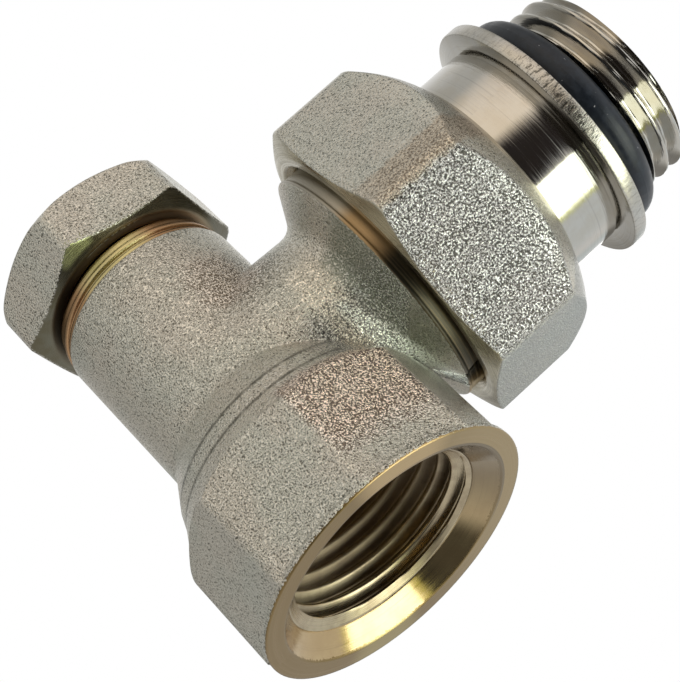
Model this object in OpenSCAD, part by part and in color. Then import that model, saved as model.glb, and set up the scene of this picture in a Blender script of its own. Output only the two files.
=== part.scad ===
// Angle radiator valve of the lockshield kind, drawn as fitted and shut.
// Millimetres. Z runs up the barrel to the cap, X runs along the union to the
// radiator. The pipe socket opens downwards, and the origin is at the outer end
// of its thread. Pieces are drawn about the crossing of the axes and then lifted.

/* [Barrel] */
// Outside of the forged barrel
barrel_d = 19.5; // [18.6:0.1:20.5]
// Height of the forged barrel above the crossing of the axes
barrel_h = 14.9; // [14.2:0.1:18]
// Outside of the turned ring between barrel and cap
neck_ring_d = 19.0; // [18.2:0.1:19.2]
// Height of the turned ring
neck_ring_h = 2.2; // [2:0.1:4]
// Depth of the grooves in the turned ring
ring_groove = 0.3; // [0.1:0.05:0.5]
// Thread for the cap, drawn plain
cap_thread_d = 16; // [15.4:0.1:16.4]
// Length of the cap's thread
cap_thread_len = 6.1; // [5.2:0.1:8]

/* [Pipe socket] */
// From the crossing of the axes to the socket's mouth
socket_drop = 21.75; // [21:0.05:30]
// Width across the socket's eight flats
socket_af = 27; // [26:0.1:29]
// How far the flats are turned about the barrel
socket_turn = 4.3; // [0:0.1:22]
// Rounding of the socket's corners, as a diameter over them
socket_over_corners = 29.2; // [28.7:0.1:30.5]
// Outside of the round lip at the mouth
lip_d = 28.9; // [27.6:0.1:29.4]
// Height of the round lip
lip_h = 0.6; // [0.3:0.1:1.5]
// Height over which the lip runs out into the flats
lip_run = 0.7; // [0.3:0.1:1.5]
// Widest diameter of the lead-in cone
lead_in_d = 24.8; // [23:0.1:26]
// Pipe thread, drawn plain at its full diameter
pipe_thread_d = 20.955; // [20:0.005:21.5]
// Length of the pipe thread below the cone
pipe_thread_len = 10.3; // [8:0.1:11]
// Bore behind the pipe thread
throat_d = 15; // [13:0.1:17]
// Height from the thread's end up to the seat hole
throat_h = 4.2; // [3.6:0.1:5]

/* [Socket shoulder] */
// Where the shoulder starts to swell below the axes
swell_top = 2.3; // [1.5:0.1:3]
// Crease round the shoulder, below the axes
crease_drop = 5.9; // [5.5:0.1:6.5]
// Diameter at the crease
crease_d = 23.6; // [23.2:0.1:24.6]
// Foot of the collar under the crease, below the axes
foot_drop = 7.6; // [7:0.1:8.2]
// Diameter at the foot of the collar
foot_d = 24.9; // [24.8:0.1:26]
// Where the corners of the flats begin, below the axes
corner_drop = 10.4; // [9.5:0.1:11]

/* [Seat and chamber] */
// Hole that the plug closes
seat_d = 8.5; // [7.6:0.1:9.2]
// Level of the seat, below the axes
seat_drop = 3.4; // [3:0.1:4]
// Height of the seat's rim above the chamber floor
seat_rim_h = 0.9; // [0.5:0.1:1.2]
// Width of the seat's rim
seat_rim_w = 1.1; // [0.8:0.1:1.4]
// Width of the chamber
chamber_d = 15.8; // [15:0.1:16.2]
// Roof of the chamber above the axes
chamber_h = 7.6; // [7.4:0.1:8.2]
// Smooth bore that the spindle's rings slide in
gland_d = 11; // [10.4:0.1:11.4]
// Length of the smooth bore
gland_len = 8.2; // [7.8:0.1:9]
// Thread for the spindle, drawn plain
spindle_thread_d = 12; // [11.6:0.1:12.6]
// Distance of the stop ring's groove from the neck's end
stop_land = 0.4; // [0.3:0.05:0.8]

/* [Union neck] */
// Outside of the branch where it flares
branch_d = 18.3; // [17.8:0.1:19]
// From the barrel's axis to the edge of the flare
flare_reach = 16.45; // [16:0.05:19]
// Outside of the flare's edge
flare_d = 26.7; // [26.5:0.1:27.6]
// Angle of the flare from the branch's axis
flare_angle = 62; // [50:1:68]
// Hollow radius at the root of the flare
flare_root_r = 2.2; // [1:0.1:3]
// Union thread, drawn plain
union_thread_d = 26.44; // [26:0.02:26.6]
// Length of the union thread past the flare
union_thread_len = 8.15; // [7.5:0.05:10]
// Waterway through the branch
port_d = 13.8; // [12:0.1:14.4]
// Cup in the union's end for the tail's spigot
cup_d = 21.2; // [20.6:0.1:21.8]
// Depth of the cup
cup_depth = 5; // [4.6:0.1:5.6]

/* [Union nut] */
// Width across the nut's six flats
nut_af = 30.7; // [29.6:0.1:32]
// Turn of the nut's flats about the union
nut_turn = 43.7; // [0:0.1:60]
// Gap between the flare's edge and the nut
nut_gap = 1.05; // [0.6:0.05:1.6]
// Length of the nut
nut_len = 14; // [13.6:0.1:15.5]
// Diameter over the nut's rounded corners
nut_over_corners = 34.8; // [34:0.1:36]
// Diameter where the near face turns into its bevel
nut_face_d = 30; // [28.6:0.1:30.2]
// Drop of the near bevel at the corners
nut_bevel = 0.85; // [0.5:0.05:1.6]
// Length of the domed far end, at the corners
nut_dome_len = 4.3; // [3.5:0.1:5]
// Bulge of the dome over a plain cone
nut_dome_bulge = 0.6; // [0.2:0.1:1]
// Rounding of the dome's profile
nut_dome_round = 14; // [8:1:20]
// Countersink at the near end of the nut's thread
nut_countersink = 0.8; // [0.4:0.1:1.2]
// Thread's run before the nut's inner shoulder
nut_thread_len = 7.5; // [7.3:0.1:8]

/* [Tailpiece] */
// Outside of the tail's barrel
tail_d = 22.8; // [22:0.1:23.2]
// From the tail's seat to the near face of its collar
tail_barrel_len = 12.75; // [12.6:0.05:20]
// Outside of the collar
collar_d = 27.0; // [25.6:0.1:28]
// Thickness of the collar
collar_w = 1.5; // [1.2:0.1:2.5]
// Dark groove between barrel and collar
undercut_w = 0.35; // [0.2:0.05:0.6]
// Depth of that groove
undercut_depth = 0.5; // [0.2:0.05:0.8]
// Radiator thread, drawn plain
radiator_thread_d = 20.955; // [20:0.005:21.5]
// From the collar's far face to the end of the thread
radiator_thread_reach = 8.45; // [7.6:0.05:14]
// Bevel at the end of the thread
thread_bevel = 0.6; // [0.4:0.1:1.2]
// Waterway through the tail
tail_bore_d = 12; // [10:0.1:12.6]
// Width across the six-sided hole for the fitting key
key_af = 12.4; // [12.2:0.1:13]
// Depth of that hole
key_depth = 9; // [6:0.5:12]
// Bottom clearance of the spigot in its cup
spigot_gap = 0.35; // [0.2:0.05:0.8]

/* [Cap] */
// Width across the cap's six flats
cap_af = 21; // [19.6:0.1:21.5]
// Turn of the cap's flats about the barrel
cap_turn = 16.9; // [0:0.1:30]
// Gap between the turned ring and the cap
cap_gap = 0.65; // [0.05:0.05:0.9]
// Diameter over the cap's rounded corners
cap_over_corners = 23.8; // [22.8:0.1:24.6]
// Diameter where the near face turns into its bevel
cap_face_d = 19.6; // [19:0.1:20.4]
// Drop of the near bevel at the corners
cap_bevel = 0.85; // [0.4:0.05:1.4]
// Wall over the cap's cavity
cap_roof = 1.7; // [1.2:0.1:3]
// Height of the rounding at the far end
cap_round_h = 2.4; // [1.6:0.1:3]
// Diameter of the flat on the far end
cap_flat_d = 16.6; // [12:0.1:18]

/* [Spindle] */
// Lift from shut to fully open
spindle_lift = 3.5; // [2.5:0.1:3.5]
// Width across the six-sided hole in the spindle
spindle_key_af = 5; // [4:0.1:6]
// Depth of that hole
spindle_key_depth = 4; // [3:0.1:6]
// Length of the spindle's thread
spindle_thread_len = 2.5; // [2:0.1:2.6]
// Space between the two sealing rings, middle to middle
seal_pitch = 2.3; // [2:0.05:2.5]
// Height of the plug's flange
plug_h = 4.2; // [3.6:0.1:5]
// Diameter of the sealing disc
disc_d = 10.3; // [10.2:0.1:10.6]
// Thickness of the sealing disc
disc_h = 1.6; // [1.2:0.1:2]
// Head of the disc's screw
disc_screw_head_d = 4.4; // [3.6:0.1:5]
// Shank of the disc's screw
disc_screw_d = 2.6; // [2:0.1:3]
// Length of the disc's screw under its head
disc_screw_len = 6.5; // [5:0.1:8]
// Washer under the screw's head
washer_d = 6; // [5.4:0.1:7]

/* [Rings] */
// Section of the ring against the collar
radiator_ring_w = 3.4; // [2.4:0.1:3.6]
// Outside of that ring
radiator_ring_d = 24; // [23.4:0.1:25]
// Section of the ring on the tail's spigot
tail_ring_w = 1.6; // [1.2:0.05:1.8]
// Section of the rings on the spindle
spindle_ring_w = 1.3; // [1:0.05:1.4]
// Wire of the split ring that holds the nut
nut_ring_w = 1.6; // [1.2:0.05:1.8]
// Thickness of the stop ring over the spindle
stop_ring_h = 0.7; // [0.5:0.05:0.9]
// Gap between the stop ring's ends
stop_ring_split = 2.8; // [1.5:0.1:4]
// Thickness of the washer in the cap
gasket_h = 1; // [0.8:0.1:1.5]

/* [Clearances] */
// Clearance all round in a thread
thread_clear = 0.05; // [0.02:0.01:0.09]
// Clearance all round in a plain sliding fit
slide_clear = 0.08; // [0.03:0.01:0.1]
// Space between pieces that seat on each other
seat_clear = 0.03; // [0.01:0.01:0.06]

/* [Hidden] */
fine = 72;
mid = 48;
small = 32;
ring_fn = 20;

// Levels up the barrel, from the crossing of the axes
mouth_z = -socket_drop;
cone_z = mouth_z + (lead_in_d - pipe_thread_d) / 2;
axis_z = -cone_z;
thread_end_z = cone_z + pipe_thread_len;
seat_z = -seat_drop;
floor_z = seat_z - seat_rim_h;
gland_z = chamber_h;
screw_z = gland_z + gland_len;
ring_z = barrel_h + neck_ring_h;
neck_z = ring_z + cap_thread_len;
stop_groove_w = stop_ring_h + 2 * seat_clear;
stop_z = neck_z - stop_land - stop_groove_w;
stop_groove_r = spindle_thread_d / 2 + 0.65;

// Stations along the union
union_end = flare_reach + union_thread_len;
cup_x = union_end - cup_depth;
nut_x = flare_reach + nut_gap;
nut_end = nut_x + nut_len;
nut_cavity_r = union_thread_d / 2 - 0.6;
tail_seat = union_end + seat_clear;
ring_x = nut_x + nut_thread_len + 1 + nut_ring_w / 2 + seat_clear;
ring_mid_r = tail_d / 2 + 0.05;
nut_hole_r = tail_d / 2 + slide_clear;
collar_x = tail_seat + tail_barrel_len;
collar_end = collar_x + collar_w;
tail_end = collar_end + radiator_thread_reach;
neck_r = radiator_ring_d / 2 - radiator_ring_w;
spigot_r = cup_d / 2 - slide_clear;
spigot_x = cup_x + spigot_gap;

// Levels of the cap
cap_z = ring_z + cap_gap;
cap_floor = neck_z + gasket_h + 2 * seat_clear;
cap_top = cap_floor + cap_roof;

// Spindle, shut
disc_z = seat_z + seat_clear;
plug_r = gland_d / 2 - slide_clear;
carrier_z = disc_z + disc_h;
spindle_top = stop_z - spindle_lift - seat_clear;
spindle_screw_z = spindle_top - spindle_thread_len;
seal_mid = gland_z + 0.35 + spindle_ring_w / 2;
cup_lip = 0.3;

// Points of a rounded corner at p between its neighbours a and b
function corner(a, p, b, r, n = 5) =
  let(u = (a - p) / norm(a - p), v = (b - p) / norm(b - p),
    half = acos(u * v) / 2,
    room = 0.95 * min(norm(a - p), norm(b - p)),
    rr = min(r, room * tan(half)),
    c = p + (u + v) / norm(u + v) * rr / sin(half),
    s = p + u * rr / tan(half) - c, e = p + v * rr / tan(half) - c,
    a0 = atan2(s[1], s[0]), d = atan2(e[1], e[0]) - a0,
    sweep = d > 180 ? d - 360 : d < -180 ? d + 360 : d)
  [for (i = [0 : n]) c + rr * [cos(a0 + sweep * i / n), sin(a0 + sweep * i / n)]];

// A closed outline from corners, each given as [x, y, radius]
function outline(q) = [for (i = [0 : len(q) - 1])
  let(a = q[(i + len(q) - 1) % len(q)], p = q[i], b = q[(i + 1) % len(q)])
  each p[2] == 0 ? [[p[0], p[1]]]
    : corner([a[0], a[1]], [p[0], p[1]], [b[0], b[1]], p[2])];

// A body turned about Z, and one turned about X with stations along X
module turned(q, fn = fine) {
  rotate_extrude($fn = fn) polygon(outline(q));
}
module turned_x(q, fn = fine) {
  rotate([0, 90, 0]) turned([for (p = q) [p[1], p[0], p[2]]], fn);
}
// Lifts a piece from the crossing of the axes to its place over the origin
module lifted() {
  translate([0, 0, axis_z]) children();
}
// A prism on n flats
module flats(n, af, h) {
  cylinder(d = af / cos(180 / n), h = h, $fn = n);
}
// A round ring about Z with its section's middle at the given radius
module round_ring(mid_r, w, fn = mid) {
  rotate_extrude($fn = fn) translate([mid_r, 0]) circle(d = w, $fn = ring_fn);
}

// Forging of the body, before boring
module forged_barrel() {
  r = barrel_d / 2;
  n = neck_ring_d / 2;
  g = n - ring_groove;
  w = neck_ring_h / 5;
  t = cap_thread_d / 2;
  turned([[0, -corner_drop - 1, 0], [socket_af / 2, -corner_drop - 1, 0],
    [socket_af / 2, -corner_drop + 0.9, 0.3],
    [foot_d / 2, -foot_drop, 0.6], [crease_d / 2, -crease_drop, 0.35],
    [r, -swell_top, 1.6], [r, barrel_h, 0.25], [n - 0.12, barrel_h, 0],
    [n, barrel_h + 0.15, 0], [n, barrel_h + w, 0],
    [g, barrel_h + w + 0.1, 0], [g, barrel_h + 2 * w - 0.1, 0],
    [n, barrel_h + 2 * w, 0], [n, barrel_h + 3 * w, 0],
    [g, barrel_h + 3 * w + 0.15, 0], [g, ring_z, 0],
    [t, ring_z, 0], [t, neck_z - 0.5, 0], [t - 0.5, neck_z, 0], [0, neck_z, 0]]);
}
module forged_socket() {
  lip = lip_d / 2;
  top = socket_over_corners / 2;
  intersection() {
    translate([0, 0, mouth_z + lip_h / 2]) rotate([0, 0, socket_turn])
      flats(8, socket_af, socket_drop - foot_drop);
    turned([[0, mouth_z, 0], [top, mouth_z, 0], [top, -corner_drop, 1.4],
      [socket_af / 2 - 0.1, -corner_drop + 0.95, 0],
      [foot_d / 2, -foot_drop, 0], [0, -foot_drop, 0]]);
  }
  turned([[0, mouth_z, 0], [lip, mouth_z, 0.12], [lip, mouth_z + lip_h, 0.2],
    [socket_af / 2 - 0.2, mouth_z + lip_h + lip_run, 0],
    [0, mouth_z + lip_h + lip_run, 0]]);
}
module forged_branch() {
  b = branch_d / 2;
  f = flare_d / 2;
  rise = (f - b) / tan(flare_angle);
  t = union_thread_d / 2;
  turned_x([[0, 0, 0], [0, barrel_d / 2 - 0.05, 0],
    [flare_reach - rise - 0.35, b, flare_root_r], [flare_reach - 0.35, f, 0.3],
    [flare_reach, f, 0.15], [flare_reach, t, 0],
    [union_end - 0.8, t, 0], [union_end, t - 0.8, 0], [union_end, 0, 0]]);
}
module waterway() {
  pt = pipe_thread_d / 2;
  s = seat_d / 2;
  turned([[0, mouth_z - 1, 0], [lead_in_d / 2 + 1, mouth_z - 1, 0],
    [pt, cone_z, 0], [pt, thread_end_z, 0], [throat_d / 2 + 1, thread_end_z, 0],
    [throat_d / 2, thread_end_z + 1, 0],
    [throat_d / 2, thread_end_z + throat_h - 2, 0.8],
    [s, thread_end_z + throat_h, 0.3], [s, seat_z + 1, 0], [0, seat_z + 1, 0]]);
  difference() {
    translate([0, 0, floor_z]) cylinder(d = chamber_d, h = chamber_h - floor_z, $fn = fine);
    translate([0, 0, floor_z - 1]) cylinder(d = seat_d + 2 * seat_rim_w,
      h = seat_rim_h + 1, $fn = mid);
  }
  p = port_d / 2;
  c = cup_d / 2;
  turned_x([[0, 0, 0], [0, p, 0], [cup_x - 0.6, p, 0], [cup_x, p + 0.6, 0],
    [cup_x, c, 0], [union_end - cup_lip, c, 0],
    [union_end + 1, c + cup_lip + 1, 0], [union_end + 1, 0, 0]]);
  turned([[0, 0, 0], [gland_d / 2, 0, 0], [gland_d / 2, screw_z, 0],
    [spindle_thread_d / 2, screw_z, 0], [spindle_thread_d / 2, stop_z, 0],
    [stop_groove_r, stop_z, 0], [stop_groove_r, stop_z + stop_groove_w, 0],
    [spindle_thread_d / 2, stop_z + stop_groove_w, 0],
    [spindle_thread_d / 2, neck_z + 1, 0], [0, neck_z + 1, 0]], mid);
}

// The body: one brass forging with barrel, eight-sided pipe socket and flared
// union branch, bored through from all three ends
module valve_body() {
  color([0.62, 0.61, 0.56]) lifted() difference() {
    union() {
      forged_barrel();
      forged_socket();
      forged_branch();
    }
    waterway();
  }
}

// Six-sided cap with a bevelled near end and a rounded far end
module lockshield_cap() {
  o = cap_over_corners / 2;
  f = cap_face_d / 2;
  color([0.64, 0.63, 0.58]) lifted() difference() {
    intersection() {
      translate([0, 0, cap_z]) rotate([0, 0, cap_turn])
        flats(6, cap_af, cap_top - cap_z);
      turned([[0, cap_z, 0], [f, cap_z, 0], [o, cap_z + cap_bevel, 0],
        [o, cap_top - cap_round_h, 1.6], [cap_flat_d / 2, cap_top, 1.8], [0, cap_top, 0]]);
    }
    r = cap_thread_d / 2 + thread_clear;
    turned([[0, cap_z - 1, 0], [r + 1.6, cap_z - 1, 0], [r, cap_z + 0.6, 0],
      [r, cap_floor, 0], [0, cap_floor, 0]], mid);
  }
}

module cap_gasket() {
  color([0.55, 0.20, 0.15]) lifted() translate([0, 0, neck_z + seat_clear]) difference() {
    cylinder(d = cap_thread_d - 0.2, h = gasket_h, $fn = mid);
    translate([0, 0, -1]) cylinder(d = spindle_thread_d + 0.6, h = gasket_h + 2, $fn = mid);
  }
}

// Screwed spindle with two ring grooves and a carrier for the sealing disc
module regulating_spindle() {
  t = spindle_thread_d / 2 - thread_clear;
  root = gland_d / 2 - spindle_ring_w - slide_clear / 2;
  half = spindle_ring_w / 2 + 0.1;
  m1 = seal_mid;
  m2 = seal_mid + seal_pitch;
  waist = plug_r - 1.2;
  color([0.80, 0.66, 0.38]) lifted() difference() {
    turned([[0, carrier_z, 0], [plug_r, carrier_z, 0], [plug_r, carrier_z + plug_h - 1, 0],
      [waist, carrier_z + plug_h, 0], [waist, gland_z - 0.55, 0],
      [plug_r, gland_z - 0.05, 0], [plug_r, m1 - half, 0], [root, m1 - half, 0],
      [root, m1 + half, 0], [plug_r, m1 + half, 0], [plug_r, m2 - half, 0],
      [root, m2 - half, 0], [root, m2 + half, 0], [plug_r, m2 + half, 0],
      [plug_r, spindle_screw_z, 0], [t, spindle_screw_z, 0],
      [t, spindle_top - 0.4, 0], [t - 0.4, spindle_top, 0], [0, spindle_top, 0]], mid);
    translate([0, 0, spindle_top - spindle_key_depth])
      flats(6, spindle_key_af, spindle_key_depth + 1);
    translate([0, 0, carrier_z - disc_h - 1])
      cylinder(d = disc_screw_d, h = disc_h + 1 + disc_screw_len, $fn = small);
  }
}

module spindle_ring_lower() {
  color([0.08, 0.08, 0.09]) lifted() translate([0, 0, seal_mid])
    round_ring(gland_d / 2 - spindle_ring_w / 2 - slide_clear / 2, spindle_ring_w, small);
}
module spindle_ring_upper() {
  translate([0, 0, seal_pitch]) spindle_ring_lower();
}

// Soft disc that closes the seat, with its washer and screw
module seat_disc() {
  color([0.12, 0.12, 0.13]) lifted() translate([0, 0, disc_z]) difference() {
    cylinder(d = disc_d, h = disc_h - seat_clear, $fn = mid);
    translate([0, 0, -1]) cylinder(d = disc_screw_d + 0.1, h = disc_h + 2, $fn = small);
  }
}
module disc_washer() {
  color([0.82, 0.70, 0.42]) lifted() translate([0, 0, disc_z - seat_clear - 0.6]) difference() {
    cylinder(d = washer_d, h = 0.6, $fn = small);
    translate([0, 0, -1]) cylinder(d = disc_screw_d + 0.1, h = 3, $fn = small);
  }
}
module disc_screw() {
  top = disc_z - 2 * seat_clear - 0.6;
  color([0.80, 0.68, 0.40]) lifted() difference() {
    union() {
      translate([0, 0, top - 1.1]) cylinder(d1 = disc_screw_head_d - 0.6,
        d2 = disc_screw_head_d, h = 1.1, $fn = small);
      translate([0, 0, top - 0.2]) cylinder(d = disc_screw_d - 2 * thread_clear,
        h = disc_screw_len, $fn = small);
    }
    translate([-disc_screw_head_d, -0.3, top - 1.6]) cube([2 * disc_screw_head_d, 0.6, 1]);
  }
}

// Split ring in the neck that stops the spindle from leaving
module stop_ring() {
  color([0.55, 0.55, 0.57]) lifted() translate([0, 0, stop_z + seat_clear]) difference() {
    cylinder(r = stop_groove_r - 0.03, h = stop_ring_h, $fn = mid);
    translate([0, 0, -1]) cylinder(r = spindle_thread_d / 2 - 0.9, h = 3, $fn = mid);
    translate([0, -stop_ring_split / 2, -1]) cube([stop_groove_r + 1, stop_ring_split, 3]);
  }
}

// Forged nut, bevelled at the near end and domed at the far end
module union_nut() {
  o = nut_over_corners / 2;
  t = union_thread_d / 2 + thread_clear;
  s = nut_cavity_r;
  x0 = nut_x;
  lip = nut_countersink;
  cone = ring_x + ring_mid_r + (nut_ring_w / 2 + seat_clear) * sqrt(2);
  // ends of the dome, and the corner from which it is rounded
  a = [nut_end - nut_dome_len, o];
  b = [nut_end, nut_hole_r + 0.1];
  p = (a + b) / 2 + nut_dome_bulge * [a[1] - b[1], b[0] - a[0]] / norm(a - b);
  color([0.63, 0.63, 0.60]) lifted() difference() {
    intersection() {
      translate([x0, 0, 0]) rotate([nut_turn, 0, 0]) rotate([0, 90, 0])
        flats(6, nut_af, nut_len);
      turned_x([[x0, 0, 0], [x0, nut_face_d / 2, 0.4], [x0 + nut_bevel, o, 0.4],
        [a[0], o, 0.5], [p[0], p[1], nut_dome_round], [b[0], b[1], 0], [nut_end, 0, 0]]);
    }
    turned_x([[x0 - 1, 0, 0], [x0 - 1, t + lip + 1, 0], [x0 + lip, t, 0],
      [x0 + nut_thread_len, t, 0], [x0 + nut_thread_len + 0.5, s, 0],
      [cone - s, s, 0], [cone - nut_hole_r, nut_hole_r, 0],
      [nut_end + 1, nut_hole_r, 0], [nut_end + 1, 0, 0]]);
  }
}

// Split wire ring that carries the nut's pull to the tail
module nut_split_ring() {
  color([0.72, 0.70, 0.62]) lifted() difference() {
    translate([ring_x, 0, 0]) rotate([0, 90, 0]) round_ring(ring_mid_r, nut_ring_w);
    translate([ring_x - 2, -1.2, 0]) cube([4, 2.4, tail_d]);
  }
}

// Turned tail: spigot, barrel, collar, ring neck and radiator thread
module tailpiece() {
  b = tail_d / 2;
  c = collar_d / 2;
  t = radiator_thread_d / 2;
  g = ring_mid_r - nut_ring_w / 2;
  gw = nut_ring_w / 2 + 0.05;
  r0 = cup_d / 2 - tail_ring_w - slide_clear / 2;
  gx = cup_x + cup_depth / 2 - 0.2;
  h = tail_ring_w / 2 + 0.1;
  bore = tail_bore_d / 2;
  color([0.74, 0.73, 0.70]) lifted() difference() {
    turned_x([[spigot_x, 0, 0], [spigot_x, spigot_r - 0.5, 0], [spigot_x + 0.5, spigot_r, 0],
      [gx - h, spigot_r, 0], [gx - h, r0, 0], [gx + h, r0, 0], [gx + h, spigot_r, 0],
      [tail_seat, spigot_r, 0], [tail_seat, b, 0.25],
      [ring_x - gw, b, 0], [ring_x - gw, g, 0], [ring_x + gw, g, 0], [ring_x + gw, b, 0],
      [collar_x - undercut_w, b, 0.35], [collar_x - undercut_w, b - undercut_depth, 0],
      [collar_x, b - undercut_depth, 0], [collar_x, c, 0.2], [collar_end, c, 0.2],
      [collar_end, neck_r, 0], [collar_end + radiator_ring_w + 0.1, neck_r, 0],
      [collar_end + radiator_ring_w + 0.6, t, 0], [tail_end - thread_bevel, t, 0],
      [tail_end, t - thread_bevel, 0], [tail_end, 0, 0]]);
    turned_x([[spigot_x - 1, 0, 0], [spigot_x - 1, bore + 3.5, 0],
      [spigot_x + 2.5, bore, 0], [tail_end + 1, bore, 0], [tail_end + 1, 0, 0]], mid);
    translate([tail_end - key_depth, 0, 0]) rotate([0, 90, 0])
      flats(6, key_af, key_depth + 1);
  }
}

module tail_ring() {
  color([0.07, 0.07, 0.08]) lifted() translate([cup_x + cup_depth / 2 - 0.2, 0, 0])
    rotate([0, 90, 0])
    round_ring(cup_d / 2 - tail_ring_w / 2 - slide_clear / 2, tail_ring_w);
}
module radiator_ring() {
  color([0.07, 0.08, 0.10]) lifted() translate([collar_end + radiator_ring_w / 2, 0, 0])
    rotate([0, 90, 0]) round_ring(neck_r + radiator_ring_w / 2, radiator_ring_w);
}

valve_body();
lockshield_cap();
cap_gasket();
regulating_spindle();
spindle_ring_lower();
spindle_ring_upper();
seat_disc();
disc_washer();
disc_screw();
stop_ring();
union_nut();
nut_split_ring();
tailpiece();
tail_ring();
radiator_ring();
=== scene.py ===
import bmesh
import bpy
import math
from mathutils import Matrix, Quaternion, Vector


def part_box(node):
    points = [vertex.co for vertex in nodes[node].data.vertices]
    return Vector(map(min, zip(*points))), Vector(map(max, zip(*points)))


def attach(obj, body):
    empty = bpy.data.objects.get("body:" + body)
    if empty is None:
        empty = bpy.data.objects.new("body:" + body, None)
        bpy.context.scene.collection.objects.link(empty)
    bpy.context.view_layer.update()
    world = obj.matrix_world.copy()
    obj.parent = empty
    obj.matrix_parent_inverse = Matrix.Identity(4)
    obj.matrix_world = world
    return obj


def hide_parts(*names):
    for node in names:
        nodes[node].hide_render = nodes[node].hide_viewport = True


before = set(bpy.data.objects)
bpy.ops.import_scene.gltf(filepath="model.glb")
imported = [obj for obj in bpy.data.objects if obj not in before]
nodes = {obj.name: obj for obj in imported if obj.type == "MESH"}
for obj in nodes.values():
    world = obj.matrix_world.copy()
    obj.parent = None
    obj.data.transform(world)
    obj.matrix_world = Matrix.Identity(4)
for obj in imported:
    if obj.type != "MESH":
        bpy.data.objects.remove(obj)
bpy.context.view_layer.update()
MM = 0.001
TAU = 2 * math.pi

# Stations in millimetres, read off the frame. AX is the height of the union's axis.
nut_lo, nut_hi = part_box("union_nut")
AX = (nut_lo.z + nut_hi.z) / 2 / MM
NUT_X = nut_lo.x / MM
TAIL_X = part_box("tailpiece")[0].x / MM
TAIL_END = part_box("tailpiece")[1].x / MM
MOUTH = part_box("valve_body")[0].z / MM
CAP_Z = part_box("lockshield_cap")[0].z / MM
CAP_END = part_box("lockshield_cap")[1].z / MM
RING_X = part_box("radiator_ring")[0].x / MM
RING_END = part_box("radiator_ring")[1].x / MM
RING_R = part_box("radiator_ring")[1].y / MM

# Sizes of the body in millimetres, as in the source
BARREL_TOP = AX + 14.9
CREASE_Z, FOOT_Z = AX - 5.9, AX - 7.6
LEAD_IN_R, MOUTH_EDGE, FLARE_X = 12.4, 1.4, 16.1
BORE_TOP, FLATS_TOP = 11.0, 11.5
GLAND_Z, GLAND_R = 8.0, 8.3
NECK_RING_R = 9.7
NECK_ROOT, NECK_CREST, NECK_PITCH = 7.6, 8.1, 1.0
UNION_ROOT = 12.9

# Flats round an axis: how many, width across, direction of the first, radius of a corner
SOCKET_FLATS = dict(n=8, across=27.0, first=26.8, radius=1.6)
NUT_FLATS = dict(n=6, across=30.7, first=43.7, radius=2.2)
CAP_FLATS = dict(n=6, across=21.0, first=46.9, radius=1.6)

# Pipe thread: outer radius, depth and pitch
G_MAJOR, G_DEPTH, PITCH = 10.4775, 1.162, 1.814

# How far under its plane the surface still counts as a flat, and how wide a hexagon's
# bevelled near end is
FLAT_SLACK, BEVEL_WIDE = 0.06, 1.4
# Grain of the body and depth of its bump, and the hexagons' bump for each mm of grain
BODY_GRAIN, BODY_BUMP, HEX_BUMP = 0.150, 0.075, 0.46
# Radius that looks softened along plain edges
BODY_EDGE, HEX_EDGE = 0.35, 0.45
# Turning lines a millimetre, on cut faces and small pieces, and on the threaded ones
CUT_LINES, THREAD_LINES = 7.0, 6.0

# Camera: where it stands, what it looks at, its roll and its lens
EYE = Vector((-12.934, -143.601, AX - 84.343))
AIM = Vector((10.62, 1.49, AX - 0.91))
ROLL = -46.566
FOCAL_PX, FRAME_PX = 1783.96, 682
SENSOR_MM = 36
CLIP_M = (0.005, 20)

# Colours of the forgings
NICKEL = (0.56, 0.55, 0.48)
NICKEL_WARM = (0.595, 0.555, 0.48)
NICKEL_PIT = (0.07, 0.066, 0.052)
NICKEL_TIP = (0.72, 0.70, 0.64)
# painted highlight along the hollow where the branch meets the socket
NICKEL_HIGHLIGHT = (0.97, 1.0, 0.93)
NICKEL_CREAM = (0.88, 0.80, 0.67)
# painted shade under the flare, tinted greenish
NICKEL_GREEN_SHADE = (0.22, 0.235, 0.18)
NICKEL_SHADE = (0.10, 0.095, 0.07)
# coarse grain: painted shade in its valleys, painted highlights on its tips
COARSE_GRAIN_SHADE, COARSE_GRAIN_HIGHLIGHT = (0.03, 0.031, 0.03), (0.72, 0.73, 0.73)
RUST_LOW, RUST_HIGH = (0.22, 0.155, 0.11), (1.0, 0.87, 0.76)
# painted shade in the shoulder's creases
CREASE_SHADE = (0.085, 0.08, 0.06)
BURR_DARK = (0.05, 0.04, 0.03)

# Colours of the body's machined places
BRASS, BRASS_DULL = (0.47, 0.36, 0.20), (0.42, 0.31, 0.17)
# the mouth's face, with painted highlights towards the branch, the front and the back
FACE, FACE_BRANCH_HIGHLIGHT = (0.19, 0.13, 0.055), (0.30, 0.22, 0.11)
FACE_FRONT_HIGHLIGHT, FACE_BACK_HIGHLIGHT = (0.42, 0.30, 0.15), (0.30, 0.24, 0.11)
# painted shade on the cone, and the bore's colour
CONE_SHADE, BORE_BROWN = (0.13, 0.105, 0.075), (0.13, 0.10, 0.07)
# the ring's copper, and its painted golden highlight
COPPER, RING_HIGHLIGHT = (0.37, 0.215, 0.11), (0.47, 0.41, 0.21)
UNION_GOLD, UNION_GREY = (0.29, 0.20, 0.105), (0.30, 0.275, 0.225)
# painted shade on the union's end under the nut
UNION_SHADE_LOW, UNION_SHADE_HIGH = (0.06, 0.055, 0.04), (0.12, 0.095, 0.06)
ROOT_BROWN = (0.16, 0.115, 0.06)

# Colours of the nut and the cap
# painted shade on two of the nut's flats
NUT_FLAT_SHADE, NUT_GREEN_FLAT_SHADE = (0.31, 0.32, 0.31), (0.26, 0.30, 0.29)
NUT_RUST_LOW, NUT_RUST_HIGH = (0.17, 0.135, 0.10), (0.50, 0.44, 0.355)
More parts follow.
